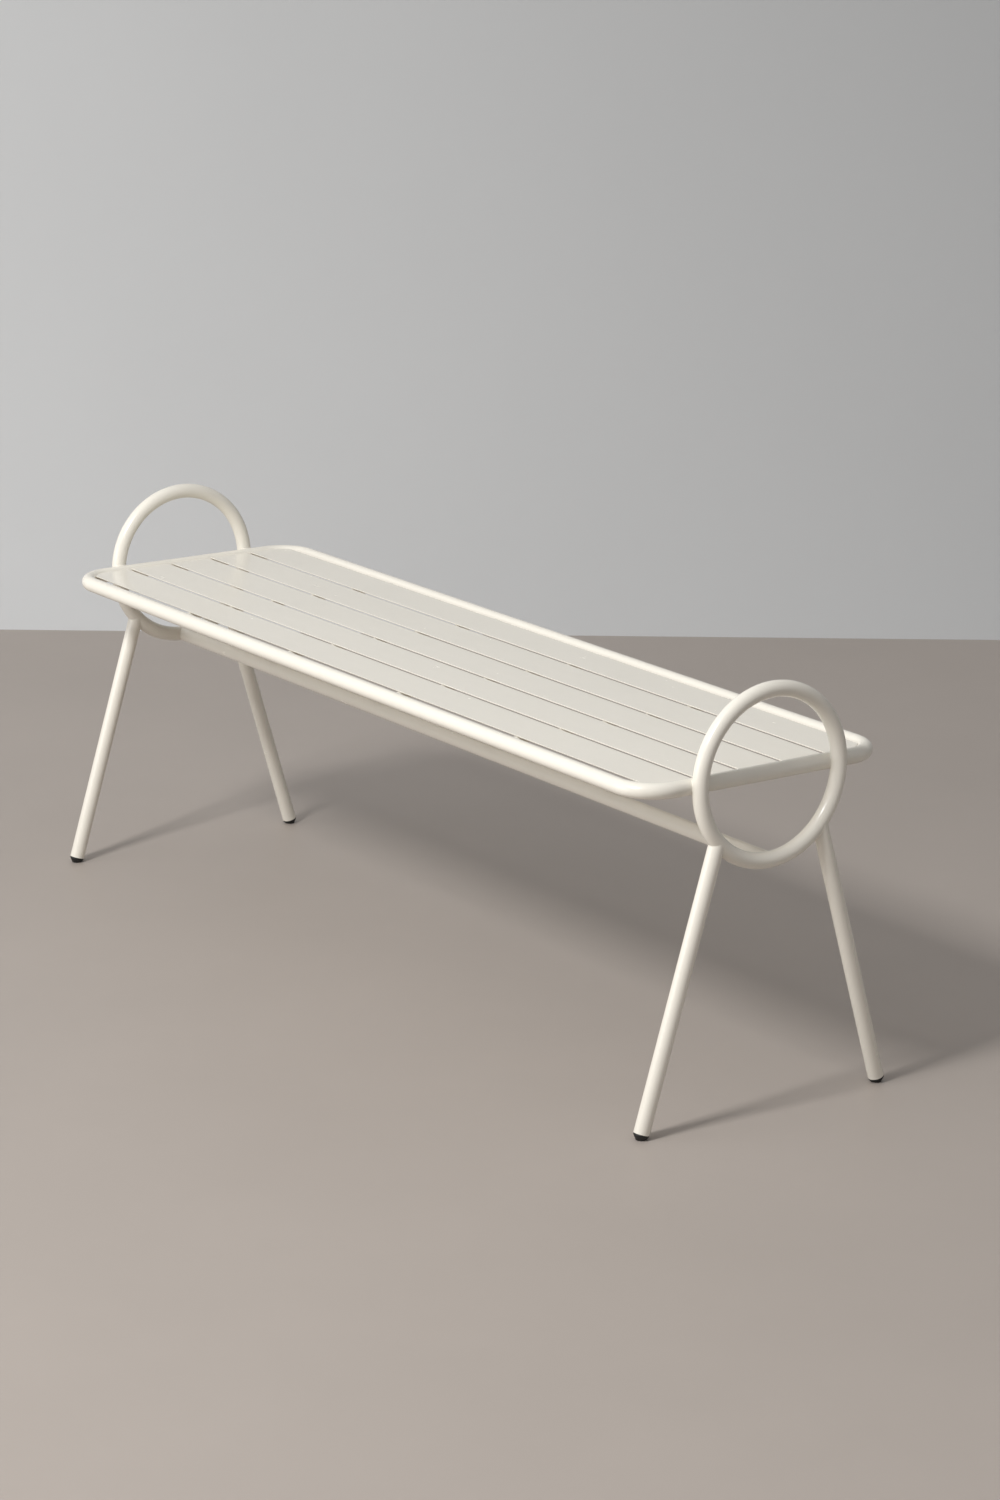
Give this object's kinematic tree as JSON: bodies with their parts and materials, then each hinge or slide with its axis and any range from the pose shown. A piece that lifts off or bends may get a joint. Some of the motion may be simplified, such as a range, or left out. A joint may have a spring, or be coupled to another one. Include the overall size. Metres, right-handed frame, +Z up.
{
  "type": "garden bench",
  "caption": "Backless garden bench in powder-coated metal: a slatted seat in a rounded tube frame, a full tube ring and splayed tube legs at each end, and a stretcher between the rings.",
  "frame": {"origin": "on the floor, under the middle of the bench", "axes": "+X along the seat to the right-hand end, +Y from the front long side to the back one, +Z up"},
  "size_m": [1.43, 0.3996, 0.5595],
  "materials": {
    "cream_coat": "satin cream powder coat on steel",
    "black_plastic": "matt black moulded plastic"
  },
  "bodies": {
    "root": {"seat_frame": "cream_coat", "slat_1": "cream_coat", "slat_2": "cream_coat", "slat_3": "cream_coat", "slat_4": "cream_coat", "slat_5": "cream_coat", "cross_bar_1": "cream_coat", "cross_bar_2": "cream_coat", "cross_bar_3": "cream_coat", "cross_bar_4": "cream_coat", "ring_left": "cream_coat", "ring_right": "cream_coat", "stretcher": "cream_coat", "leg_front_left": "cream_coat", "leg_back_left": "cream_coat", "leg_front_right": "cream_coat", "leg_back_right": "cream_coat", "foot_plug_front_left": "black_plastic", "foot_plug_back_left": "black_plastic", "foot_plug_front_right": "black_plastic", "foot_plug_back_right": "black_plastic"}
  },
  "joints": []
}
